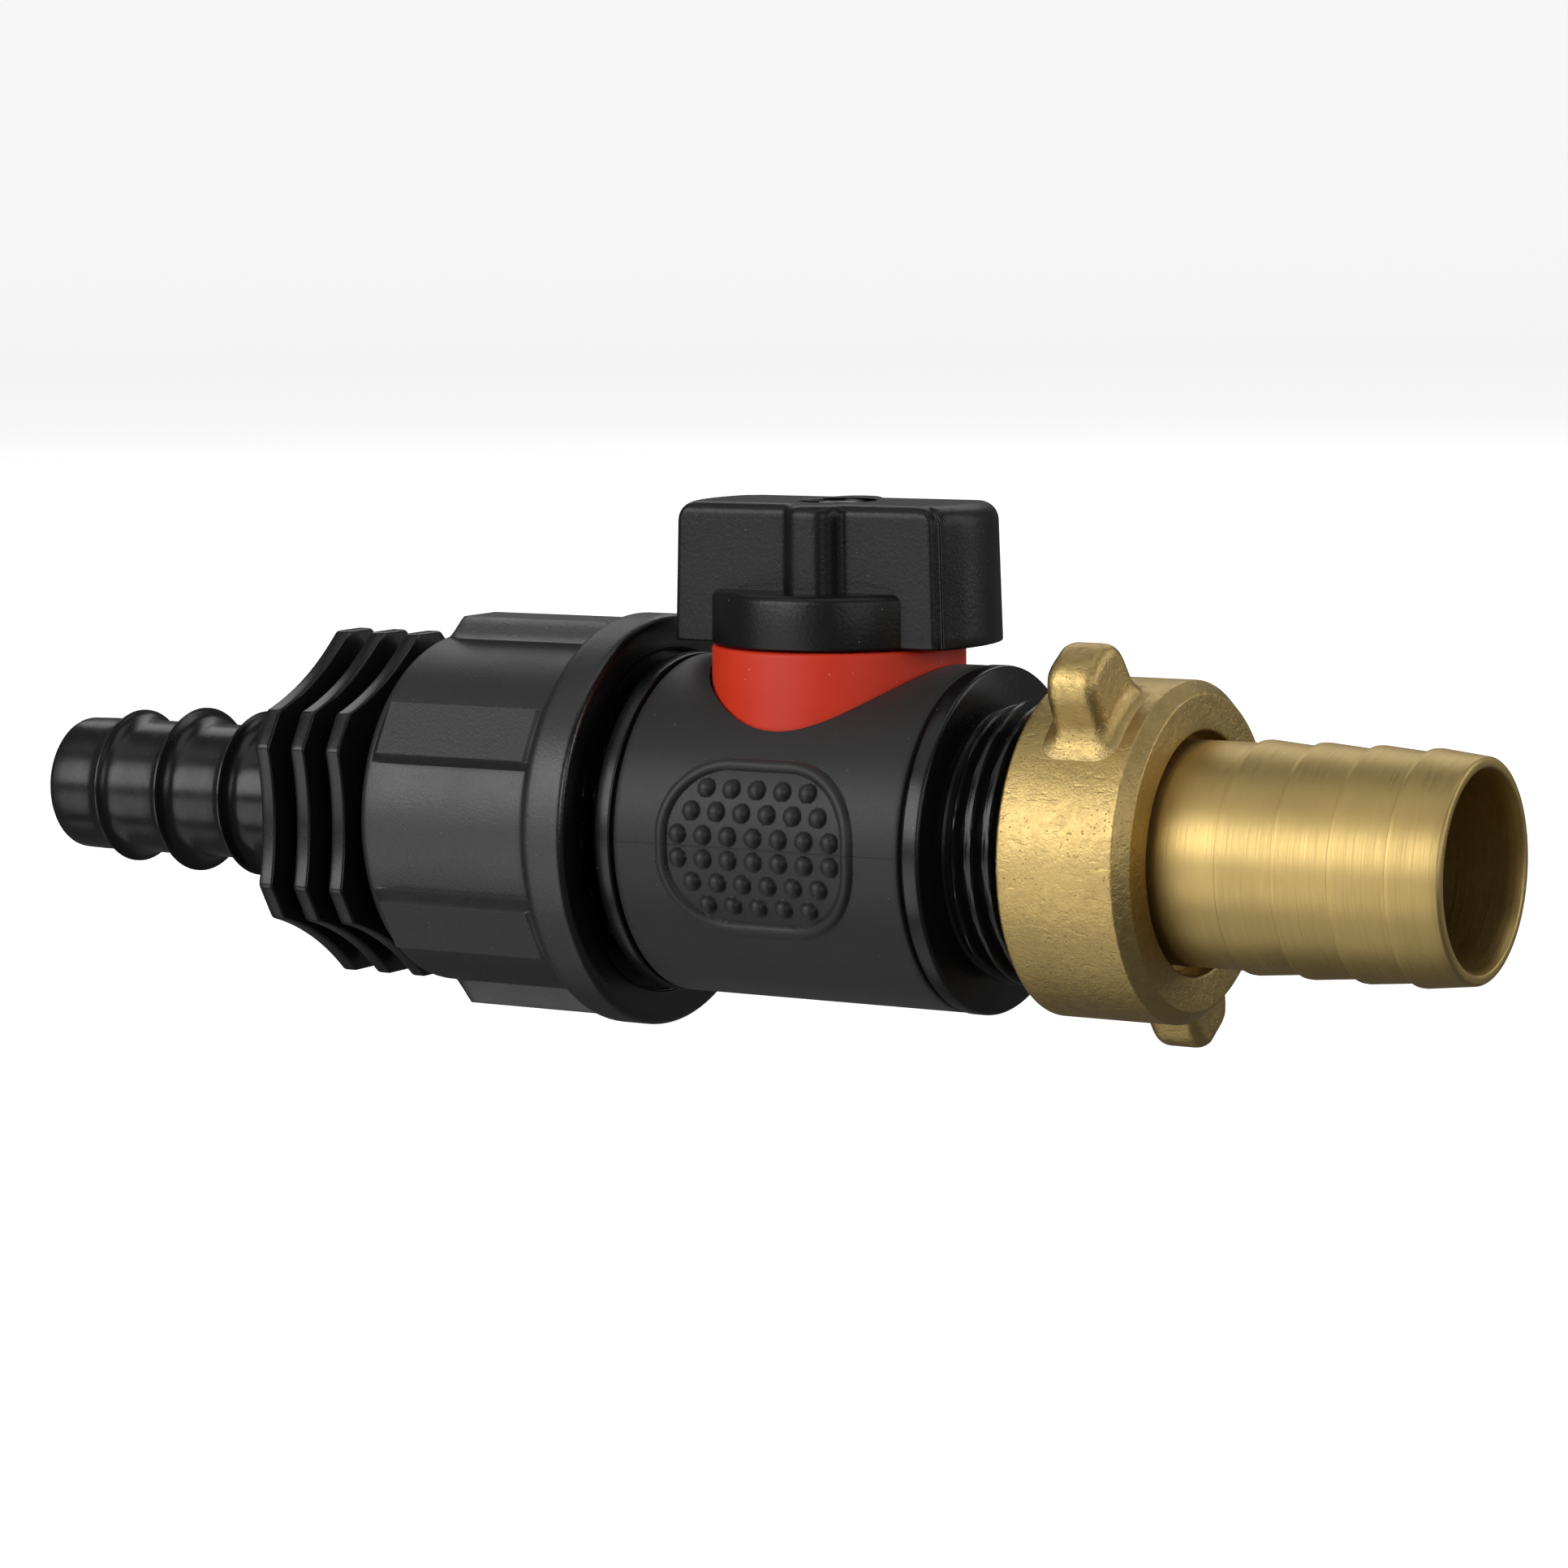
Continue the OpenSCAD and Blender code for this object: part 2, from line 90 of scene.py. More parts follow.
def rounded(corners, closed=True, steps=5):
    """The outline through corners (x, y) or (x, y, radius), with an arc at each corner that has a radius."""
    points = []
    count = len(corners)
    for i, corner in enumerate(corners):
        here = Vector(corner[:2])
        radius = corner[2] if len(corner) > 2 else 0.0
        if radius == 0.0 or (not closed and i in (0, count - 1)):
            points.append(tuple(here))
            continue
        before = Vector(corners[i - 1][:2]) - here
        after = Vector(corners[(i + 1) % count][:2]) - here
        half = before.angle(after) / 2
        reach = radius / math.tan(half)
        before.normalize()
        after.normalize()
        centre = here + (before + after).normalized() * (radius / math.sin(half))
        start = here + before * reach - centre
        end = here + after * reach - centre
        sweep = start.angle_signed(end)
        for k in range(steps + 1):
            turn = Matrix.Rotation(-sweep * k / steps, 2)
            points.append(tuple(centre + turn @ start))
    return points


def spaced(points, step, closed=True):
    """The same outline with points added so that none are further apart than step."""
    result = []
    last = len(points) if closed else len(points) - 1
    for i in range(last):
        p, q = points[i], points[(i + 1) % len(points)]
        parts = max(1, math.ceil(math.dist(p, q) / step))
        for k in range(parts):
            t = k / parts
            result.append((p[0] + (q[0] - p[0]) * t, p[1] + (q[1] - p[1]) * t))
    if not closed:
        result.append(points[-1])
    return result


def split_counts(outline, step):
    """How many parts each side of a closed outline needs so that none is longer than step."""
    return [max(1, math.ceil(math.dist(p, q) / step)) for p, q in zip(outline, outline[1:] + outline[:1])]


def split(outline, counts):
    """The closed outline with each side in that many parts."""
    points = []
    for p, q, count in zip(outline, outline[1:] + outline[:1], counts):
        for k in range(count):
            t = k / count
            points.append((p[0] + (q[0] - p[0]) * t, p[1] + (q[1] - p[1]) * t))
    return points


def quarter_turn(count):
    """That many angles from 0 to a quarter turn."""
    return np.linspace(0, QUARTER, count)


def even_angles(steps):
    """That many angles round a full turn."""
    return np.arange(steps) * TAU / steps


def smoothstep(t):
    """0 below 0, 1 above 1 and an S-curve between."""
    t = np.clip(t, 0.0, 1.0)
    return t * t * (3 - 2 * t)


def drawn_in(past, radius):
    """How far a quarter-round edge has drawn in at a height past its start, from 0 to 1."""
    rise = max(0.0, past) / radius
    return 1 - math.sqrt(max(0.0, 1 - rise ** 2))


# ---- Meshes ---------------------------------------------------------------------------------


def loop_mesh(loops, capped=False):
    """A closed skin over closed loops of points: a ring, or a solid with both ends capped."""
    bm = bmesh.new()
    rows = [[bm.verts.new(Vector(p) * MM) for p in loop] for loop in loops]
    pairs = list(zip(rows, rows[1:]))
    if capped:
        bm.faces.new(rows[0])
        bm.faces.new(rows[-1])
    else:
        pairs.append((rows[-1], rows[0]))
    for low, high in pairs:
        for i in range(len(low)):
            j = (i + 1) % len(low)
            bm.faces.new((low[i], low[j], high[j], high[i]))
    return bm


def about_flow(profile, angles, relief=None):
    """A solid turned about the flow axis from a closed profile of (x, r). relief(x, r, angle) changes r."""
    x = np.array([p[0] for p in profile])[:, None]
    r = np.array([p[1] for p in profile])[:, None]
    a = np.asarray(angles)[None, :]
    radius = np.broadcast_to(r if relief is None else relief(x, r, a), (len(profile), a.shape[1]))
    stations = np.broadcast_to(x, radius.shape)
    points = np.stack([stations, -radius * np.cos(a), radius * np.sin(a)], -1)
    return loop_mesh(points.tolist())


def stem_point(r, angle, z):
    """The point at that radius, angle and height around the stem."""
    return (STEM_X + r * math.cos(angle), r * math.sin(angle), z)


def about_stem(profile, steps=128):
    """A solid turned about the stem's axis from a closed profile of (r, z)."""
    return loop_mesh([[stem_point(r, a, z) for a in even_angles(steps)] for r, z in profile])


def joined(*meshes):
    """One bmesh with the shells of all of them."""
    whole = meshes[0]
    for other in meshes[1:]:
        scratch = bpy.data.meshes.new("scratch")
        other.to_mesh(scratch)
        whole.from_mesh(scratch)
        other.free()
        bpy.data.meshes.remove(scratch)
    return whole


def cut(bm, cutter):
    """bm without the part inside cutter."""
    objects = []
    for mesh_in in (bm, cutter):
        bmesh.ops.recalc_face_normals(mesh_in, faces=mesh_in.faces)
        mesh = bpy.data.meshes.new("cut")
        mesh_in.to_mesh(mesh)
        mesh_in.free()
        obj = bpy.data.objects.new("cut", mesh)
        bpy.context.scene.collection.objects.link(obj)
        objects.append(obj)
    target, tool = objects
    modifier = target.modifiers.new("cut", "BOOLEAN")
    modifier.operation = "DIFFERENCE"
    modifier.solver = "EXACT"
    modifier.object = tool
    graph = bpy.context.evaluated_depsgraph_get()
    result = bmesh.new()
    result.from_mesh(target.evaluated_get(graph).to_mesh())
    for obj in objects:
        mesh = obj.data
        bpy.data.objects.remove(obj)
        bpy.data.meshes.remove(mesh)
    return result


def piece(name, bm, slot, body, nodes, sharp=32):
    """Makes bm an object with that slot's material, on that body, in place of the CAD nodes.

    Edges that turn by more than sharp degrees stay sharp.
    """
    merge_distance = 1e-4 * MM
    bmesh.ops.remove_doubles(bm, verts=bm.verts, dist=merge_distance)
    bmesh.ops.recalc_face_normals(bm, faces=bm.faces)
    limit = math.radians(sharp)
    for face in bm.faces:
        face.smooth = True
    for edge in bm.edges:
        edge.smooth = len(edge.link_faces) != 2 or edge.calc_face_angle() < limit
    mesh = bpy.data.meshes.new(name)
    bm.to_mesh(mesh)
    bm.free()
    mesh.materials.append(materials[slot])
    obj = bpy.data.objects.new(name, mesh)
    bpy.context.scene.collection.objects.link(obj)
    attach(obj, body)
    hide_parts(*nodes)


# ---- Materials ------------------------------------------------------------------------------

# Noise values between which patches and grain fade in
PATCHES = (0.35, 0.7)
GRAIN = (0.3, 0.7)


class Surface:
    """One principled material, built up in layers of procedural detail in object space.

    colour and roughness are plain values until a layer turns them into a node's output.
    """

    def __init__(self, name, colour, roughness, metallic=0.0):
        self.material = bpy.data.materials.new(name + "_look")
        self.material.use_nodes = True
        self.tree = self.material.node_tree
        self.shader = self.tree.nodes["Principled BSDF"]
        self.shader.inputs["Metallic"].default_value = metallic
        self.place = self.tree.nodes.new("ShaderNodeTexCoord").outputs["Object"]
        self.colour = (*colour, 1.0)
        self.roughness = roughness
        self.normal = None

    def node(self, kind, **settings):
        made = self.tree.nodes.new(kind)
        for key, value in settings.items():
            setattr(made, key, value)
        return made

    def feed(self, socket, source):
        """Links source to socket if it is a node's output, or else sets the socket to it."""
        if isinstance(source, bpy.types.NodeSocket):
            self.tree.links.new(source, socket)
        else:
            socket.default_value = source

    def texture(self, kind, size_mm, stretch=(1, 1, 1)):
        """A texture with features about size_mm across, longer along an axis where stretch is under 1."""
        mapping = self.node("ShaderNodeMapping")
        mapping.inputs["Scale"].default_value = tuple(s / (size_mm * MM) for s in stretch)
        self.feed(mapping.inputs["Vector"], self.place)
        texture = self.node(kind)
        texture.inputs["Scale"].default_value = 1.0
        self.feed(texture.inputs["Vector"], mapping.outputs["Vector"])
        return texture

    def noise(self, size_mm, detail=3.0, stretch=(1, 1, 1), rough=0.55):
        """Soft noise from 0 to 1."""
        texture = self.texture("ShaderNodeTexNoise", size_mm, stretch)
        texture.inputs["Detail"].default_value = detail
        texture.inputs["Roughness"].default_value = rough
        return texture.outputs["Fac"]

    def cells(self, size_mm):
        """The distance from the middle of the nearest of many scattered cells."""
        return self.texture("ShaderNodeTexVoronoi", size_mm).outputs["Distance"]

    def ramp(self, source, low, high, from_value=0.0, to_value=1.0):
        """source between low and high becomes from_value to to_value."""
        node = self.node("ShaderNodeMapRange", clamp=True)
        node.inputs["From Min"].default_value = low
        node.inputs["From Max"].default_value = high
        node.inputs["To Min"].default_value = from_value
        node.inputs["To Max"].default_value = to_value
        self.feed(node.inputs["Value"], source)
        return node.outputs["Result"]

    def combine(self, operation, a, b=0.0):
        """The result of a math node on a and b."""
        node = self.node("ShaderNodeMath", operation=operation)
        self.feed(node.inputs[0], a)
        self.feed(node.inputs[1], b)
        return node.outputs[0]

    def axis(self, name):
        """The place along "X", "Y" or "Z", in metres."""
        separate = self.node("ShaderNodeSeparateXYZ")
        self.feed(separate.inputs[0], self.place)
        return separate.outputs[name]

    def tint(self, mask, colour):
        """Paints colour where mask is 1."""
        mix = self.node("ShaderNodeMix", data_type="RGBA")
        self.feed(mix.inputs["A"], self.colour)
        mix.inputs["B"].default_value = (*colour, 1.0)
        self.feed(mix.inputs["Factor"], mask)
        self.colour = mix.outputs["Result"]

    def specks(self, spacing_mm, edge, core, colour, amount):
        """Scatters dots of colour, one to a cell, that start at edge and are full at core."""
        dots = self.ramp(self.cells(spacing_mm), edge, core)
        self.tint(self.combine("MULTIPLY", dots, amount), colour)

    def gloss(self, mask, change):
        """Adds change to the roughness where mask is 1."""
        self.roughness = self.combine("ADD", self.combine("MULTIPLY", mask, change), self.roughness)

    def bump(self, height, depth_mm):
        """Raises the surface by height times depth_mm."""
        node = self.node("ShaderNodeBump")
        node.inputs["Strength"].default_value = 1.0
        node.inputs["Distance"].default_value = depth_mm * MM
        self.feed(node.inputs["Height"], height)
        if self.normal is not None:
            self.feed(node.inputs["Normal"], self.normal)
        self.normal = node.outputs["Normal"]

    def edge_wear(self, colour, amount=0.5):
        """Paints colour on convex edges, by the mesh's pointiness."""
        geometry = self.node("ShaderNodeNewGeometry")
        self.tint(self.ramp(geometry.outputs["Pointiness"], 0.52, 0.62, 0.0, amount), colour)

    def set(self, **sockets):
        """Sets the shader's own sockets, whose names have _ for a space here."""
        for name, value in sockets.items():
            self.shader.inputs[name.replace("_", " ")].default_value = value

    def done(self):
        """The finished material."""
        self.feed(self.shader.inputs["Base Color"], self.colour)
        self.feed(self.shader.inputs["Roughness"], self.roughness)
        if self.normal is not None:
            self.feed(self.shader.inputs["Normal"], self.normal)
        return self.material


def scaled(colour, share):
    """The colour made darker or lighter."""
    return tuple(c * share for c in colour)


def black_plastic(name, colour, roughness, grain_mm, grain_depth, dust=0.35):
    """Moulded black plastic: fine grain, paler patches, dust and lighter edges."""
    s = Surface(name, colour, roughness)
    grain = s.noise(grain_mm, detail=2.0)
    patches = s.noise(9.0)
    s.tint(s.ramp(patches, *PATCHES, to_value=0.5), scaled(colour, 1.6))
    s.specks(1.9, 0.055, 0.035, (0.25, 0.25, 0.26), dust)
    s.gloss(s.ramp(patches, *GRAIN), 0.08)
    s.gloss(s.ramp(grain, *GRAIN), 0.05)
    s.bump(grain, grain_depth)
    s.edge_wear(scaled(colour, 2.6))
    return s


def make_tail_plastic():
    return black_plastic("tail_plastic", (0.0075, 0.0075, 0.008), 0.20, 0.55, 0.004).done()


def make_nut_plastic():
    """Grained plastic, with a smooth dark face at the flange."""
    s = black_plastic("nut_plastic", (0.008, 0.008, 0.0082), 0.36, 0.34, 0.028)
    s.set(Specular_IOR_Level=0.85)
    face = s.ramp(s.axis("X"), (UNION_END - 0.7) * MM, (UNION_END - 0.3) * MM)
    s.tint(face, (0.004, 0.004, 0.004))
    s.gloss(face, -0.2)
    return s.done()


def make_body_plastic():
    s = black_plastic("body_plastic", (0.005, 0.005, 0.0055), 0.22, 0.5, 0.006, dust=0.5)
    s.bump(s.noise(3.0), 0.010)
    return s.done()


def make_grip_rubber():
    """Soft black rubber with a fine mould seam at the height of the flow axis."""
    s = Surface("grip_rubber", (0.0095, 0.009, 0.009), 0.44)
    grain = s.noise(0.22, detail=2.0)
    s.tint(s.ramp(s.noise(12.0), *PATCHES, to_value=0.5), (0.013, 0.012, 0.012))
    s.gloss(s.ramp(grain, *GRAIN), 0.08)
    s.bump(grain, 0.012)
    seam_from, seam_to = 0.05 * MM, 0.12 * MM
    height = s.combine("ABSOLUTE", s.axis("Z"))
    seam = s.ramp(height, seam_from, seam_to, 1.0, 0.0)
    s.tint(s.combine("MULTIPLY", seam, 0.7), (0.012, 0.012, 0.012))
    s.bump(seam, -0.05)
    s.specks(2.6, 0.045, 0.03, (0.3, 0.3, 0.3), 0.3)
    s.set(Sheen_Weight=0.12, Sheen_Roughness=0.5)
    return s.done()


def make_collar_red():
    s = Surface("collar_red", (0.72, 0.036, 0.010), 0.42)
    grain = s.noise(0.35, detail=2.0)
    s.tint(s.ramp(s.noise(7.0), *PATCHES, to_value=0.4), (0.82, 0.055, 0.018))
    s.specks(2.2, 0.05, 0.03, (0.95, 0.5, 0.4), 0.5)
    s.gloss(s.ramp(grain, *GRAIN), 0.06)
    s.bump(grain, 0.010)
    s.set(Subsurface_Weight=0.05, Subsurface_Radius=(0.002, 0.0006, 0.0003))
    s.set(Specular_IOR_Level=0.35)
    return s.done()


def make_handle_plastic():
    s = black_plastic("handle_plastic", (0.005, 0.005, 0.0052), 0.29, 0.42, 0.030, dust=0.6)
    s.set(Specular_IOR_Level=0.38)
    return s.done()


def brass(name, colour, roughness):
    """Brass with darker patches."""
    s = Surface(name, colour, roughness, metallic=1.0)
    s.tint(s.ramp(s.noise(8.0, detail=4.0), 0.40, 0.75, to_value=0.55), scaled(colour, 0.78))
    return s


def make_forged_brass():
    """Cast skin: dents, short marks, pits in places and stains."""
    s = brass("forged_brass", (0.61, 0.44, 0.17), 0.35)
    pits = s.combine("MULTIPLY", s.ramp(s.cells(0.55), 0.22, 0.10),
                     s.ramp(s.noise(3.5, detail=2.0), 0.45, 0.6))
    dents = s.noise(1.1, detail=5.0, rough=0.65)
    marks = s.noise(0.9, detail=2.0, stretch=(0.35, 1, 1))
    s.bump(s.noise(0.3), 0.045)
    s.bump(dents, 0.10)
    s.bump(s.ramp(marks, 0.60, 0.72), -0.03)
    s.bump(pits, -0.04)
    s.tint(s.combine("MULTIPLY", pits, 0.5), (0.28, 0.19, 0.07))
    stains = s.noise(1.4, detail=5.0)
    s.tint(s.ramp(stains, 0.52, 0.72, to_value=0.45), (0.44, 0.33, 0.15))
    s.gloss(s.ramp(dents, *PATCHES), 0.14)
    s.edge_wear((0.85, 0.70, 0.40))
    return s.done()


def make_turned_brass():
    """Lathe lines round the flow axis, fine ones over coarse ones."""
    s = brass("turned_brass", (0.62, 0.45, 0.17), 0.36)
    lines = s.noise(0.16, stretch=(1, 0.012, 0.012), rough=0.7)
    coarse = s.noise(0.7, detail=2.0, stretch=(1, 0.02, 0.02))
    s.bump(lines, 0.016)
    s.bump(coarse, 0.012)
    s.gloss(s.ramp(lines, *GRAIN), 0.14)
    s.tint(s.ramp(lines, 0.5, 0.75, to_value=0.3), (0.48, 0.36, 0.17))
    s.edge_wear((0.88, 0.74, 0.46))
    return s.done()


def make_metal(name, colour, roughness):
    """Plain metal with fine upright lines."""
    s = Surface(name, colour, roughness, metallic=1.0)
    lines = s.noise(0.4, stretch=(0.1, 0.1, 1))
    s.tint(s.ramp(s.noise(4.0), 0.4, 0.7, to_value=0.4), scaled(colour, 0.8))
    s.gloss(s.ramp(lines, *GRAIN), 0.08)
    s.bump(lines, 0.004)
    return s.done()


def make_soft(name, colour, roughness):
    """Seat and seal material with a fine grain."""
    s = Surface(name, colour, roughness)
    grain = s.noise(0.3, detail=2.0)
    s.tint(s.ramp(s.noise(3.0), 0.4, 0.7, to_value=0.5), scaled(colour, 0.8))
    s.gloss(s.ramp(grain, *GRAIN), 0.1)
    s.bump(grain, 0.01)
    return s.done()


materials = {
    "tail_plastic": make_tail_plastic(),
    "nut_plastic": make_nut_plastic(),
    "body_plastic": make_body_plastic(),
    "grip_rubber": make_grip_rubber(),
    "collar_red": make_collar_red(),
    "handle_plastic": make_handle_plastic(),
    "forged_brass": make_forged_brass(),
    "turned_brass": make_turned_brass(),
    "ball_chrome": make_metal("ball_chrome", (0.75, 0.76, 0.78), 0.08),
    "stem_steel": make_metal("stem_steel", (0.56, 0.56, 0.57), 0.28),
    "screw_steel": make_metal("screw_steel", (0.50, 0.50, 0.51), 0.30),
    "seat_ptfe": make_soft("seat_ptfe", (0.80, 0.80, 0.77), 0.45),
    "nitrile": make_soft("nitrile", (0.014, 0.014, 0.014), 0.55),
}


# ---- Inlet hose tail ------------------------------------------------------------------------

PLATE_POINT_R = 21.6
PLATE_HOLLOW_R = 18.8


def ring_barb(at, crest_r):
    """Profile of a ring barb on the tube: two concave flanks up to a narrow rounded crest."""
    reach, half_crest = 2.2, 0.25
    half_tip, tip_h = 0.1, 0.2
    height = crest_r - TUBE_R
    flank = [(reach * (1 - math.sin(t)), height * (1 - math.cos(t))) for t in quarter_turn(8)]
    left = [(at - half_crest - run, TUBE_R + rise) for run, rise in flank]
    right = [(at + half_crest + run, TUBE_R + rise) for run, rise in reversed(flank)]
    crest = [(at - half_crest, crest_r - tip_h), (at - half_tip, crest_r),
             (at + half_tip, crest_r), (at + half_crest, crest_r - tip_h)]
    return left[:-1] + crest + right[1:]


def hollow_hexagon():
    """A hexagon with narrow points and sides that curve inwards, as points (y, z)."""
    half_point, point_round, side_steps = math.radians(6.6), 1.0, 15
    half_side = math.radians(30)
    sag = PLATE_POINT_R * math.cos(half_side - half_point) - PLATE_HOLLOW_R

    def rim(angle):
        return PLATE_POINT_R * np.array([math.cos(angle), math.sin(angle)])

    corners = []
    for k in range(6):
        turn = math.radians(90 + 60 * k)
        corners += [(*rim(turn - half_point), point_round), (*rim(turn + half_point), point_round)]
        start = rim(turn + half_point)
        end = rim(turn + 2 * half_side - half_point)
        middle = turn + half_side
        inward = -np.array([math.cos(middle), math.sin(middle)])
        for t in np.linspace(0, 1, side_steps)[1:-1]:
            corners.append(tuple(start + (end - start) * t + inward * sag * 4 * t * (1 - t)))
    return rounded(corners, steps=4)


def grip_plate(at):
    """A hexagonal plate with softened edges. It reaches down into the hub."""
    thickness, edge_round, foot_share = 2.1, 0.4, 0.4
    edge = [(edge_round * (1 - math.cos(t)), edge_round * (1 - math.sin(t))) for t in quarter_turn(4)]
    levels = [(at, foot_share)]
    levels += [(at + depth, 1 - inset / PLATE_POINT_R) for depth, inset in edge]
    levels += [(at + thickness - depth, 1 - inset / PLATE_POINT_R) for depth, inset in reversed(edge)]
    levels.append((at + thickness, foot_share))
    outline = hollow_hexagon()
    return loop_mesh([[(x, y * share, z * share) for y, z in outline] for x, share in levels])


def inlet_hose_tail():
    """A smooth nose, three ring barbs, the hub with its plates, and the flange the union nut holds."""
    end = extent("inlet_hose_tail", "x")[1]
    flange_x = end - 3.0
    nose_to, nose_round, mouth_r, mouth_depth = 4.0, 1.1, 7.0, 0.6
    barbs = ((9.0, 9.78), (19.0, 10.46), (29.0, 10.46))
    tube_from, tube_to = 34, 41.0
    hub_from, hub_r = 43.5, 12.5
    bore_r, bore_to, port_from = 6.5, 63.5, 67.5
    plate_from, plate_pitch, plate_count = 42.15, 5.25, 3

    nose = rounded([(0, mouth_r), (0, TUBE_R - 0.1, nose_round), (nose_to, TUBE_R)], closed=False)
    outer = nose[1:]
    for at, crest_r in barbs:
        outer += ring_barb(at, crest_r)
    outer += rounded([(tube_from, TUBE_R), (tube_to, TUBE_R, 1.5), (hub_from, hub_r, 0.6),
                      (flange_x, hub_r, 0.5), (flange_x, TAIL_FLANGE_R, 0.4),
                      (end, TAIL_FLANGE_R, 0.4), (end, PORT_R)], closed=False)
    inner = [(port_from, PORT_R), (bore_to, bore_r), (mouth_depth, bore_r), (0, mouth_r)]
    body = about_flow(spaced(outer + inner, 1.5), even_angles(144))
    plates = [grip_plate(plate_from + k * plate_pitch) for k in range(plate_count)]
    return joined(body, *plates)


piece("inlet_hose_tail_detail", inlet_hose_tail(), "tail_plastic", "inlet_tail",
      ["inlet_hose_tail"])


# ---- Union nut ------------------------------------------------------------------------------


def union_nut():
    """A barrel with six flat raised pads and a round flange."""
    start, end = UNION_START, UNION_END
    barrel_r, flange_r = 21.5, -extent("union_nut", "z")[0]
    flange_x = end - 5.8
    hole_r, shoulder_x = 12.8, 69.45
    lip_r, lip_depth, mouth_r, mouth_depth = 20.6, 1.6, 19.2, 2.6
    pad_count, pad_top, pad_half, wall = 6, 24.0, 3.35, 0.55
    pad_turn = TAU / pad_count
    pad_from, pad_ramp = start + 1.4, 2.3
    pad_to, pad_fade = start + 24.6, 1.4

    def relief(x, r, a):
        """Lifts the barrel's skin to the pads' flat tops."""
        skin = (r > barrel_r - 0.6) & (x < flange_x + 0.8)
        away = (a - QUARTER + pad_turn / 2) % pad_turn - pad_turn / 2
        side = 1 - smoothstep((np.abs(pad_top * np.sin(away)) - pad_half) / wall)
        rise = np.clip((x - pad_from) / pad_ramp, 0, 1)
        fall = 1 - smoothstep((x - pad_to) / pad_fade)
        lift = np.maximum(pad_top / np.cos(away) - r, 0)
        return np.where(skin, r + lift * side * rise * fall, r)

    def section_angles():
        """Angles close together at the pads' walls and wider apart between the pads."""
        margin, wall_step, on_top, clear_half, between_count = 0.5, 0.12, (1.0, 2.0), 4.6, 12
        at_wall = np.arange(pad_half - margin, pad_half + wall + margin, wall_step)
        across = [0.0] + [side * t for side in (-1, 1) for t in (*on_top, *at_wall)]
        clear = math.asin(clear_half / pad_top)
        turns = [math.asin(t / pad_top) for t in across]
        turns += list(np.linspace(clear, pad_turn - clear, between_count))
        return sorted({round((QUARTER + k * pad_turn + turn) % TAU, 6)
                       for k in range(pad_count) for turn in turns})

    outer = rounded([(start, hole_r), (start, barrel_r, 1.4), (flange_x - 1.6, barrel_r, 1.4),
                     (flange_x + 0.2, flange_r, 1.9), (end, flange_r, 0.9), (end, lip_r, 0.4),
                     (end - lip_depth, lip_r, 0.3), (end - lip_depth, mouth_r, 0.5),
                     (end - mouth_depth, NUT_BORE_R)], closed=False, steps=7)
    inner = [(shoulder_x, NUT_BORE_R), (shoulder_x, hole_r)]
    return about_flow(spaced(outer + inner, 0.6), section_angles(), relief)


piece("union_nut_detail", union_nut(), "nut_plastic", "union_nut", ["union_nut"])


# ---- End connectors with a helical thread ---------------------------------------------------


def end_connector(side):
    """The connector on the outlet side (side = 1) or the inlet side (side = -1).

    Its stations are distances from the stem's axis.
    """
    collar_r, rim_r, plug_r, groove_r = extent("outlet_end", "z")[1], 19.6, 16.4, 14.6
    plug_from, groove_from, groove_to = 13.8, 15.9, 17.7
    sleeve_to, rim_to, collar_to, root_from = 19.1, 19.6, 21.8, 22.4
    nose, nose_chamfer = 39.0, 0.6
    retainer_from, retainer_r, seat_r = 8.0, 14.95, 13.05
    first_crest = 23.9
    thread_from, fade_in = 22.9, 1.3
    thread_to, fade_out = nose - 1.6, 1.4
    wave_gain, wave_shift = 1.25, 0.1

    def relief(x, r, a):
        """Winds the thread round the root: a cosine wave with its crests and roots cut flat."""
        along = np.abs(x - STEM_X)
        phase = (x - STEM_X - side * first_crest) / THREAD_PITCH + a / TAU
        wave = 0.5 + 0.5 * np.cos(TAU * phase)
        crest = np.clip(wave * wave_gain - wave_shift, 0, 1)
        begun = smoothstep((along - thread_from) / fade_in)
        left = 1 - smoothstep((along - thread_to) / fade_out)
        thread = THREAD_ROOT_R + THREAD_DEPTH * crest * begun * left
        return np.where(np.abs(r - THREAD_ROOT_R) <= 0.01, thread, r)

    outline = rounded([(plug_from, PORT_R), (plug_from, plug_r, 0.4), (groove_from, plug_r),
                       (groove_from, groove_r), (groove_to, groove_r), (groove_to, plug_r),
                       (sleeve_to, plug_r), (sleeve_to, rim_r), (rim_to, rim_r),
                       (rim_to, collar_r, 0.3), (collar_to, collar_r, 0.5),
                       (collar_to + 0.25, THREAD_ROOT_R + 0.3, 0.3), (root_from, THREAD_ROOT_R)],
                      closed=False, steps=4)
    threaded = spaced([(root_from, THREAD_ROOT_R), (nose - nose_chamfer, THREAD_ROOT_R)], 0.145,
                      closed=False)
    outline = outline[:-1] + threaded
    outline += [(nose, THREAD_ROOT_R - nose_chamfer), (nose, PORT_R)]
    ring = [(retainer_from, seat_r), (retainer_from, retainer_r),
            (plug_from, retainer_r), (plug_from, seat_r)]

    def placed(stations):
        return [(STEM_X + side * x, r) for x, r in stations]

    retainer = about_flow(placed(ring), even_angles(96))
    return joined(about_flow(placed(outline), even_angles(192), relief), retainer)


for side, end in ((-1, "inlet_end"), (1, "outlet_end")):
    piece(end + "_detail", end_connector(side), "body_plastic", "valve", [end])


# ---- Grip sleeve with its bead and bumps ----------------------------------------------------


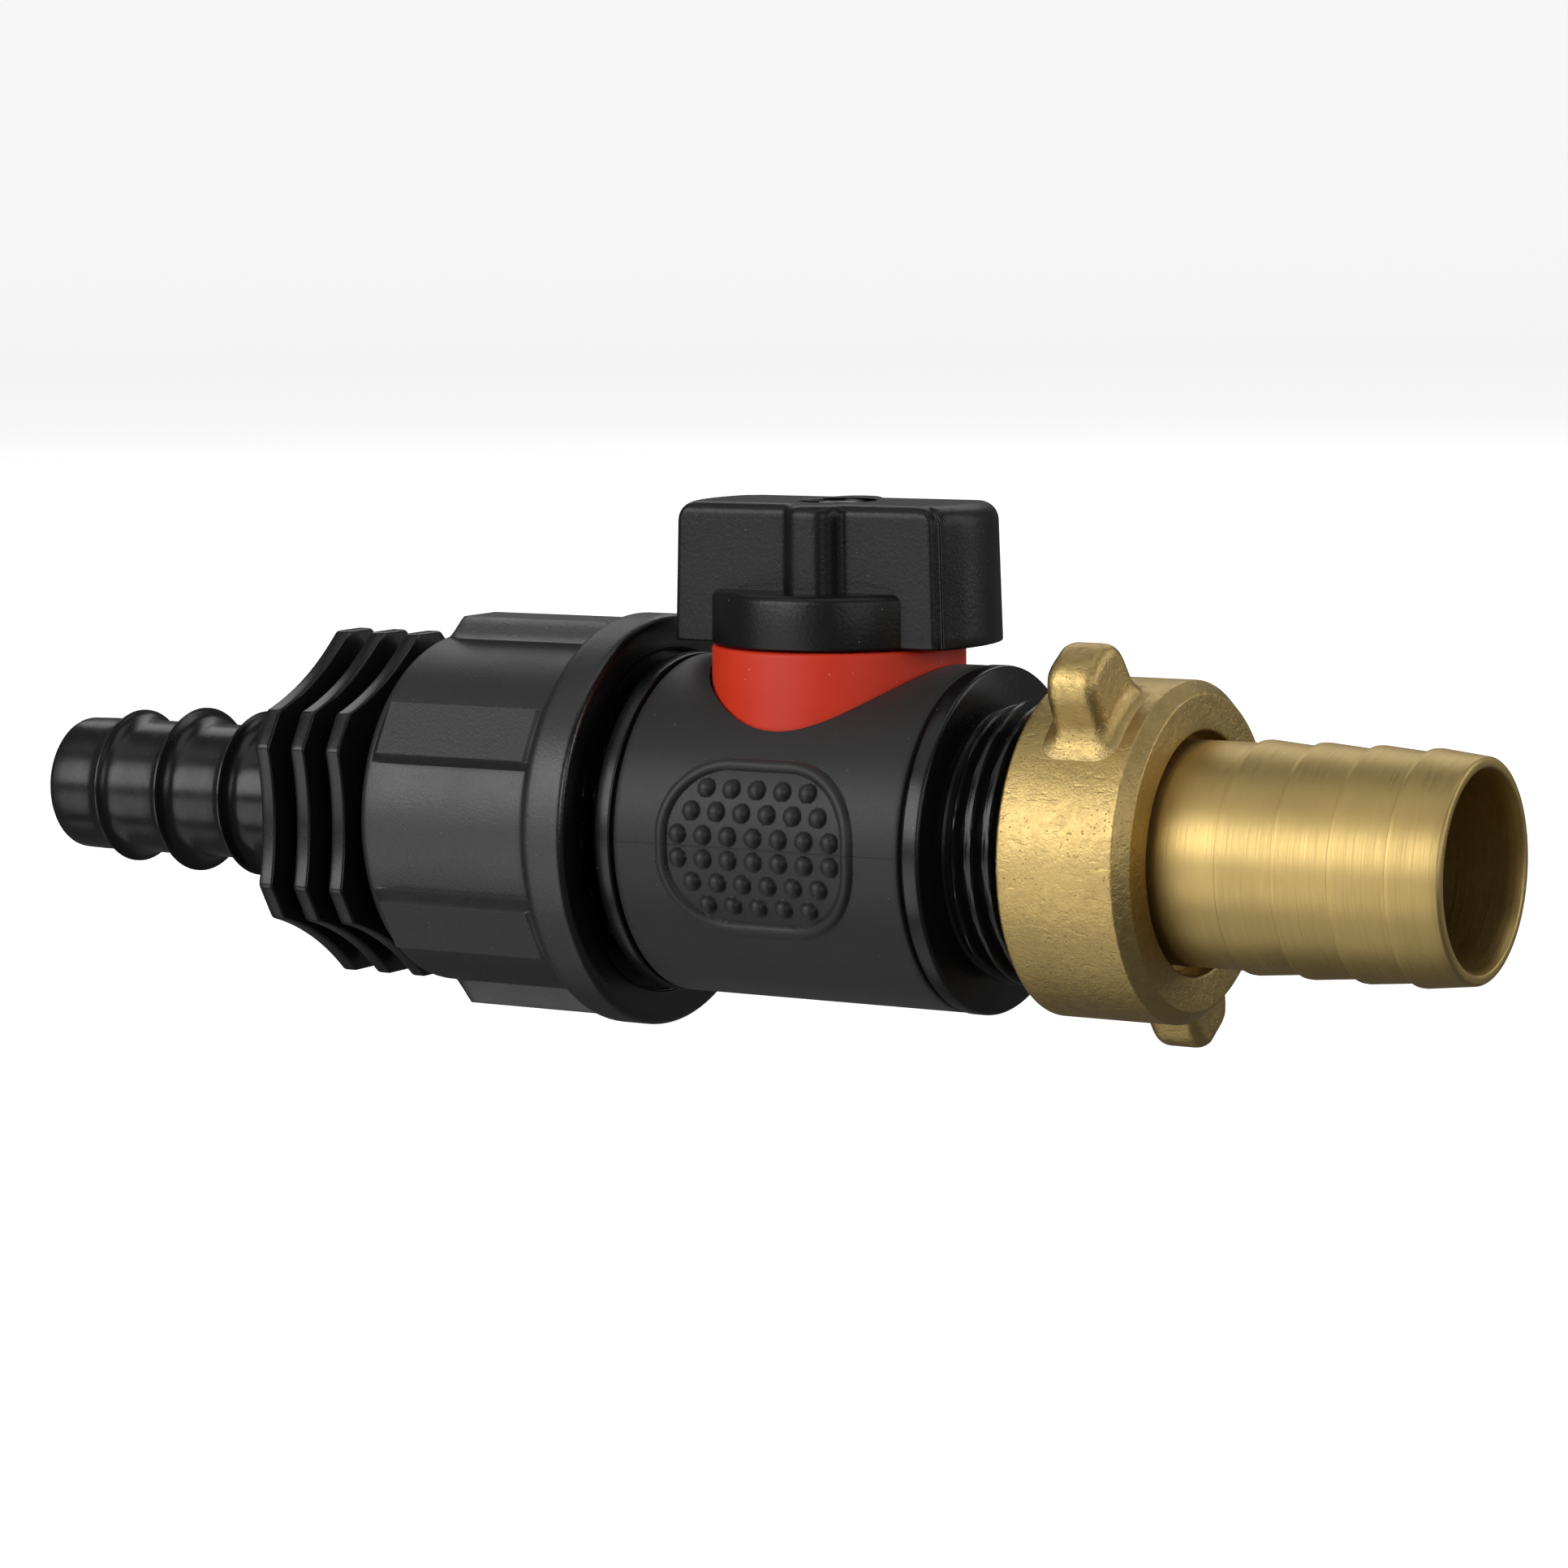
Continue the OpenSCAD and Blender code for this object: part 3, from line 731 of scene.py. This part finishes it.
def pad_relief(along, arc):
    """Height over the sleeve of the oval bead and the rows of domes within it."""
    half_w, half_h, corner_r = 12.45, 10.0, 8.8
    bead_half_w, bead_h = 0.75, 0.6
    rows, pitch, row_pitch = (5, 6, 7, 7, 6, 5), 3.4, 2.78
    dome_r, dome_h = 1.14, 0.9
    beyond_x = np.abs(along) - (half_w - corner_r)
    beyond_y = np.abs(arc) - (half_h - corner_r)
    outside = np.hypot(np.maximum(beyond_x, 0), np.maximum(beyond_y, 0))
    distance = outside + np.minimum(np.maximum(beyond_x, beyond_y), 0) - corner_r
    height = bead_h * np.sqrt(np.clip(1 - (distance / bead_half_w) ** 2, 0, 1))
    for row, count in enumerate(rows):
        dome_y = (row - (len(rows) - 1) / 2) * row_pitch
        for i in range(count):
            dome_x = (i - (count - 1) / 2) * pitch
            away = np.hypot(along - dome_x, arc - dome_y) / dome_r
            height = np.maximum(height, dome_h * np.sqrt(np.clip(1 - away ** 2, 0, 1)))
    return height


def grip_sleeve():
    """The sleeve with a pad on each side and a hole for the stem's collar."""
    fine, coarse, coarse_turn = 0.14, 0.6, 0.035
    pad_half_x, pad_half_arc, coarse_from = 13.4, 11.0, 0.57
    hole_gap, hole_top, core_r = 0.35, 30.0, 0.01

    def relief(x, r, a):
        """Adds the two pads to the outer skin."""
        turn = (a + QUARTER) % math.pi - QUARTER
        height = pad_relief(x - STEM_X, SLEEVE_R * turn)
        return np.where((r > SLEEVE_R - 0.05) & (np.abs(turn) < 0.7), r + height, r)

    near_pad = list(np.arange(-pad_half_arc, pad_half_arc + 0.01, fine) / SLEEVE_R)
    between = list(np.arange(coarse_from, math.pi - coarse_from + 0.01, coarse_turn))
    angles = sorted({round((a + half_turn) % TAU, 6)
                     for half_turn in (0.0, math.pi) for a in near_pad + between})
    corners = [(SLEEVE_START, BARREL_R), (SLEEVE_START, SLEEVE_R, 0.35),
               (SLEEVE_END, SLEEVE_R, 0.35), (SLEEVE_END, BARREL_R)]
    outline = []
    for x, r in spaced(rounded(corners), fine):
        kept = abs(x - STEM_X) < pad_half_x or r < SLEEVE_R - 0.01
        if kept or math.dist(outline[-1], (x, r)) > coarse:
            outline.append((x, r))
    hole_r = COLLAR_R + hole_gap
    hole = about_stem([(core_r, 0.0), (hole_r, 0.0), (hole_r, hole_top), (core_r, hole_top)])
    return cut(about_flow(outline, angles, relief), hole)


piece("grip_sleeve_detail", grip_sleeve(), "grip_rubber", "valve", ["grip_sleeve"], sharp=40)


# ---- Collar around the stem -----------------------------------------------------------------


def stem_collar():
    """A ring saddled onto the barrel, with the key that stops the handle."""
    hole_r, top = 8.85, HANDLE_Z - 0.25
    ring = about_stem(rounded([(hole_r, 0), (COLLAR_R, 0), (COLLAR_R, top, 0.5), (hole_r, top, 0.3)]),
                      192)
    barrel = loop_mesh([[(STEM_X + x, BARREL_R * math.cos(a), BARREL_R * math.sin(a))
                         for a in even_angles(256)] for x in (-2 * COLLAR_R, 2 * COLLAR_R)], capped=True)

    key_in, key_out, key_foot, key_top = 9.8, 12.6, top - 1, top + 1.6
    key_at, key_half = math.radians(135), math.radians(7)
    section = rounded([(key_in, key_foot), (key_out, key_foot), (key_out, key_top, 0.3),
                       (key_in, key_top, 0.3)])
    key = loop_mesh([[stem_point(r, a, z) for r, z in section]
                     for a in np.linspace(key_at - key_half, key_at + key_half, 6)], capped=True)
    return joined(cut(ring, barrel), key)


piece("stem_collar_detail", stem_collar(), "collar_red", "valve", ["stem_collar"])


# ---- Handle ---------------------------------------------------------------------------------


def handle_outline(inset_end=0.0, inset_face=0.0):
    """Plan of the handle: two flat grip faces with a rib each, and two round ends with a step."""
    end_r, face = 19.5 - inset_end, 7.8 - inset_face
    rib_x, rib_half, rib_out = 1.6, 2.75 - inset_face * 0.5, 10.8 - inset_face
    rib_taper, flare_near, flare_far = 0.2, 1.2, 0.7
    face_to, step_from, step_to = 17.35 - inset_end, 17.55 - inset_end, 18.25 - inset_end
    half = [(-math.sqrt(end_r ** 2 - face ** 2), -face, 0.9),
            (rib_x - rib_half - flare_near, -face, 1.5),
            (rib_x - rib_half + rib_taper, -rib_out, 2.2),
            (rib_x + rib_half - rib_taper, -rib_out, 2.2),
            (rib_x + rib_half + flare_far, -face, 1.2),
            (face_to, -face, 0.9),
            (step_from, 0.95 - face, 0.3),
            (step_to, 0.5 - face, 0.5)]
    first, last = math.radians(-16.5), math.asin(face / end_r) - math.radians(5)
    half += [(end_r * math.cos(a), end_r * math.sin(a)) for a in np.linspace(first, last, 14)]
    return rounded(half + [(-p[0], -p[1], *p[2:]) for p in half])


def handle():
    """The grip with its rounded top, screw recess, stem socket and key slot, and the round skirt."""
    top, foot_round, end_round, face_round = HANDLE_TOP, 0.3, 2.3, 1.3
    end_draft, face_draft = 0.5, 0.2
    top_rings = (0.94, 0.8, 0.6)
    counts = split_counts(handle_outline(), 1.0)

    def level(z, extra=0.0):
        """The outline at height z, drawn in by the draft, the top edge's round and extra."""
        height = (z - HANDLE_Z) / (HANDLE_TOP - HANDLE_Z)
        end_inset = end_round * drawn_in(z - (top - end_round), end_round)
        face_inset = face_round * drawn_in(z - (top - face_round), face_round)
        outline = handle_outline(end_inset + end_draft * height + extra,
                                 face_inset + face_draft * height + extra)
        return [(STEM_X + x, y, z) for x, y in split(outline, counts)]

    loops = [level(HANDLE_Z + foot_round * (1 - math.cos(t)), foot_round * (1 - math.sin(t)))
             for t in quarter_turn(4)]
    loops += [level(z) for z in np.linspace(HANDLE_Z + 1.5, top - end_round, 8)]
    loops += [level(top - end_round * (1 - math.sin(t))) for t in quarter_turn(12)[1:]]
    for share in top_rings:
        loops.append([(STEM_X + (x - STEM_X) * share, y * share, z) for x, y, z in loops[-1]])

    recess_r, recess_z, screw_r = 4.4, top - 2.5, 2.3
    socket_r, socket_top = 5.2, HANDLE_Z + 10.6
    slot_in, slot_out, slot_top = 9.5, 12.9, HANDLE_Z + 2
    turns = [math.atan2(y, x - STEM_X) for x, y, z in loops[0]]
    loops += [[stem_point(r, a, z) for a in turns] for r, z in (
        (recess_r + 0.35, top), (recess_r + 0.1, top - 0.07), (recess_r, top - 0.35),
        (recess_r, recess_z), (screw_r, recess_z), (screw_r, socket_top), (socket_r, socket_top),
        (socket_r, HANDLE_Z), (slot_in, HANDLE_Z), (slot_in, slot_top), (slot_out, slot_top),
        (slot_out, HANDLE_Z))]

    skirt_in, skirt_hole_r, skirt_top, skirt_roof = 13.2, 6.0, HANDLE_Z + 6.3, HANDLE_Z + 3
    skirt = about_stem(rounded([(skirt_in, HANDLE_Z), (COLLAR_R, HANDLE_Z, 0.3),
                                (COLLAR_R - 0.15, skirt_top, 1.0), (skirt_hole_r, skirt_top),
                                (skirt_hole_r, skirt_roof), (skirt_in, skirt_roof)]), 160)
    return joined(loop_mesh(loops), skirt)


piece("handle_detail", handle(), "handle_plastic", "handle", ["handle"])


# ---- Brass nut with two forged lugs ---------------------------------------------------------

NUT_R = 19.7
LUG_TIP_R = 28.0
LUG_TURN = math.radians(32)


def lug(turn):
    """A forged lug: a rounded block with a round tip that flares into the nut at its root."""
    centre_x = STEM_X + 39.4
    half_w, half_t, w_taper, t_taper = 4.85, 3.45, 0.04, 0.05
    tip_round, edge_round, root_round, sink = 3.9, 1.5, 2.2, 1.2
    tip_left, edge_left, flare_share, roundest = 0.3, 0.1, 0.6, 0.9
    follow_h = 4.5
    tip = LUG_TIP_R - NUT_R
    outward = np.array([0, -math.sin(turn), math.cos(turn)])
    around = np.array([0, -math.cos(turn), -math.sin(turn)])

    def section(rise):
        """The lug's outline at a height over the nut, as points (along the flow, around the nut)."""
        below = min(root_round, max(0.0, root_round - rise))
        flare = root_round - math.sqrt(root_round ** 2 - below ** 2)
        w = half_w - w_taper * rise + flare
        w -= (tip_round - tip_left) * drawn_in(rise - (tip - tip_round), tip_round)
        t = half_t - t_taper * rise + flare_share * flare
        t -= (edge_round - edge_left) * drawn_in(rise - (tip - edge_round), edge_round)
        radius = min(edge_round + flare / 2, roundest * w, roundest * t)
        return rounded([(-t, -w, radius), (t, -w, radius), (t, w, radius), (-t, w, radius)], steps=6)

    rises = [-sink, *np.linspace(0, root_round, 10)]
    rises += list(np.linspace(root_round + 0.6, tip - tip_round, 4))
    rises += [tip - tip_round * (1 - math.sin(t)) for t in np.linspace(0.15, QUARTER, 12)]
    counts = split_counts(section(rises[0]), 0.7)
    loops = []
    for rise in rises:
        # How much of the nut's roundness the outline follows: all of it at the root, none above follow_h
        follow = min(1.0, max(0.0, 1 - rise / follow_h))
        loop = []
        for a, b in split(section(rise), counts):
            drop = NUT_R - math.sqrt(NUT_R ** 2 - b ** 2)
            height = NUT_R + rise - drop * follow
            loop.append(tuple(np.array([centre_x + a, 0, 0]) + outward * height + around * b))
        loops.append(loop)
    return loop_mesh(loops, capped=True)


def wing_nut():
    """A turned ring with an inner flange, and its two lugs."""
    start, end = extent("wing_nut", "x")
    shoulder_x, face_r, hole_r = STEM_X + 44.05, 18.2, 14.0
    mouth, end_bevel = 0.8, 1.6
    profile = rounded([(start, NUT_BORE_R + mouth), (start, NUT_R, 0.5), (end - end_bevel, NUT_R, 0.5),
                       (end, face_r, 0.35), (end, hole_r, 0.3), (shoulder_x, hole_r),
                       (shoulder_x, NUT_BORE_R), (start + mouth, NUT_BORE_R)], closed=False)
    ring = about_flow(spaced(profile, 1.0), even_angles(180))
    return joined(ring, lug(LUG_TURN), lug(LUG_TURN + math.pi))


piece("wing_nut_detail", wing_nut(), "forged_brass", "wing_nut", ["wing_nut"])


# ---- Brass hose tail ------------------------------------------------------------------------


def outlet_hose_tail():
    """The flange that the nut holds, a neck and four saw-tooth barbs."""
    start, end = extent("outlet_hose_tail", "x")
    flange_to, neck_r, bore_r = start + 3.0, 12.92, 11.2
    first_barb, pitch, count = STEM_X + 55.2, 6.8, 4
    crest_r, barb_step = 13.34, 0.55
    corners = [(start, bore_r), (start, TAIL_FLANGE_R, 0.3), (flange_to, TAIL_FLANGE_R, 0.3),
               (flange_to, neck_r)]
    low = neck_r
    for i in range(count):
        x = first_barb + i * pitch
        corners += [(x - 0.05, low), (x, crest_r - 0.03, 0.06), (x + 0.5, crest_r, 0.2)]
        low = crest_r - barb_step
    corners += [(end, low - 0.1, 0.45), (end, bore_r + 0.3, 0.25), (end - 1.2, bore_r)]
    profile = rounded(corners, closed=False, steps=4)
    return about_flow(spaced(profile, 1.2), even_angles(200))


piece("outlet_hose_tail_detail", outlet_hose_tail(), "turned_brass", "outlet_tail",
      ["outlet_hose_tail"])


# ---- Carried-over CAD nodes -----------------------------------------------------------------

slots = {part["node"]: part["material_slot"] for part in frame["record"]["subparts"]}
for name, obj in frame["nodes"].items():
    obj.data.materials.clear()
    obj.data.materials.append(materials[slots[name]])


# ---- Studio (sizes in metres) ---------------------------------------------------------------

FLOOR_Z = -29.2 * MM
LIGHT_DISTANCE = 1.3

# Camera: the photograph's viewing angle, aimed at a point near the flow axis
CAMERA_AZIMUTH = math.radians(30.9)
CAMERA_ELEVATION = math.radians(6.83)
CAMERA_ROLL = math.radians(-0.67)
CAMERA_AIM = Vector((105.7, 0.0, 5.1)) * MM
CAMERA_DISTANCE = 582.0 * MM
CAMERA_LENS = 112.1
CAMERA_SENSOR = 36.0


def direction(azimuth, elevation):
    """The way from the valve to something at those angles (radians). Azimuth 0 looks along +Y."""
    level = math.cos(elevation)
    return Vector((math.sin(azimuth) * level, -math.cos(azimuth) * level, math.sin(elevation)))


def floor_surface():
    """Nearly white with faint patches, and bright enough by itself to show as white."""
    surface = Surface("floor", (0.92, 0.92, 0.92), 0.8)
    surface.tint(surface.ramp(surface.noise(60.0), 0.4, 0.7, to_value=0.1), (0.88, 0.88, 0.88))
    surface.set(Emission_Color=(1.0, 1.0, 1.0, 1.0), Emission_Strength=0.8)
    return surface.done()


def add_floor():
    """A pale bowl. Only the camera sees it, so that the pieces mirror nothing but the lights."""
    centre_r, flat_r, curve_r, wall_h, steps = 0.00001, 2.5, 1.2, 5.0, 64
    section = [(centre_r, 0.0), (flat_r, 0.0)]
    section += [(flat_r + curve_r * math.sin(t), curve_r * (1 - math.cos(t)))
                for t in np.linspace(0.15, QUARTER, 10)]
    section.append((flat_r + curve_r, wall_h))
    bm = bmesh.new()
    rows = [[bm.verts.new((r * math.cos(a), r * math.sin(a), z + FLOOR_Z))
             for a in even_angles(steps)] for r, z in section]
    bm.faces.new(rows[0])
    for low, high in zip(rows, rows[1:]):
        for i in range(steps):
            j = (i + 1) % steps
            bm.faces.new((low[i], low[j], high[j], high[i]))
    for face in bm.faces:
        face.smooth = True
    mesh = bpy.data.meshes.new("floor")
    bm.to_mesh(mesh)
    bm.free()
    mesh.materials.append(floor_surface())
    obj = bpy.data.objects.new("floor", mesh)
    bpy.context.scene.collection.objects.link(obj)
    obj.visible_glossy = False
    obj.visible_diffuse = False
    obj.visible_shadow = False


def add_light(name, azimuth, elevation, size, radiance, distance=LIGHT_DISTANCE):
    """A soft panel that faces the valve, at angles in degrees. Radiance is how bright it looks."""
    outward = direction(math.radians(azimuth), math.radians(elevation))
    data = bpy.data.lights.new(name, "AREA")
    data.shape = "RECTANGLE"
    data.size, data.size_y = size
    data.energy = radiance * math.pi * size[0] * size[1]
    obj = bpy.data.objects.new(name, data)
    obj.location = Vector((STEM_X * MM, 0, 0)) + outward * distance
    obj.rotation_euler = outward.to_track_quat("Z", "Y").to_euler()
    bpy.context.scene.collection.objects.link(obj)


def add_world(strength):
    world = bpy.data.worlds.new("studio")
    world.use_nodes = True
    background = world.node_tree.nodes["Background"]
    background.inputs["Color"].default_value = (1.0, 1.0, 1.0, 1.0)
    background.inputs["Strength"].default_value = strength
    bpy.context.scene.world = world


def add_camera():
    back = direction(CAMERA_AZIMUTH, CAMERA_ELEVATION)
    right = Vector((math.cos(CAMERA_AZIMUTH), math.sin(CAMERA_AZIMUTH), 0.0))
    up = back.cross(right)
    side = right * math.cos(CAMERA_ROLL) + up * math.sin(CAMERA_ROLL)
    top = up * math.cos(CAMERA_ROLL) - right * math.sin(CAMERA_ROLL)
    data = bpy.data.cameras.new("camera")
    data.lens = CAMERA_LENS
    data.sensor_width = CAMERA_SENSOR
    data.clip_start = 0.01
    data.clip_end = 20.0
    camera = bpy.data.objects.new("camera", data)
    bpy.context.scene.collection.objects.link(camera)
    turn = Matrix((side, top, back)).transposed().to_4x4()
    camera.matrix_world = Matrix.Translation(CAMERA_AIM + back * CAMERA_DISTANCE) @ turn
    bpy.context.scene.camera = camera


add_floor()
add_light("main_high", -26, 20, (1.1, 0.72), 3.3)
add_light("main_low", -26, -23, (1.1, 0.70), 1.35)
add_light("upper_left", -40, 60, (1.2, 0.8), 0.5)
add_light("lower_left", -40, -62, (1.2, 0.7), 0.5)
add_light("front_right", 48, 16, (0.7, 0.6), 1.6)
add_light("right_back", 135, 20, (0.25, 0.9), 2.2, distance=1.2)
add_light("right", 98, 16, (0.8, 0.6), 1.4)
add_light("back", 205, 40, (1.3, 0.6), 1.2)
add_light("top", 80, 74, (1.0, 0.8), 0.7)
add_world(0.09)
add_camera()
bpy.context.scene.view_settings.view_transform = "Standard"
